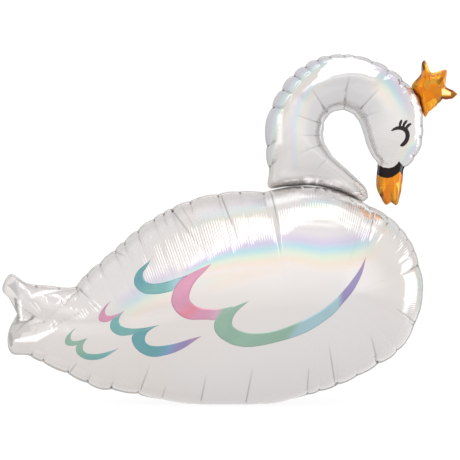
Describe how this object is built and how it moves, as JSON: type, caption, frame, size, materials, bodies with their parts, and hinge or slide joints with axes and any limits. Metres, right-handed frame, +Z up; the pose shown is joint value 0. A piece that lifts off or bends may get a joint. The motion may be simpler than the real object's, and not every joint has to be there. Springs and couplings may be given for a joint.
{
  "type": "swan foil balloon",
  "caption": "Swan-shaped foil balloon: a large pearly body pillow with a forked tail, a curved neck and head with a closed eye and orange beak, and a small gold crown.",
  "frame": {"origin": "middle of the bounding box on the floor, in the plane of the seams", "axes": "+Z up, +X towards the head and crown, +Y towards the side that the picture doesn't show"},
  "size_m": [0.7285, 0.2222, 0.5572],
  "materials": {
    "pearl_film": "glossy pearlescent metallised film with a faint rainbow sheen",
    "gold_film": "glossy orange-gold metallised film"
  },
  "bodies": {
    "root": {"body_balloon": "pearl_film", "neck_and_head_balloon": "pearl_film", "crown_balloon": "gold_film"}
  },
  "joints": []
}
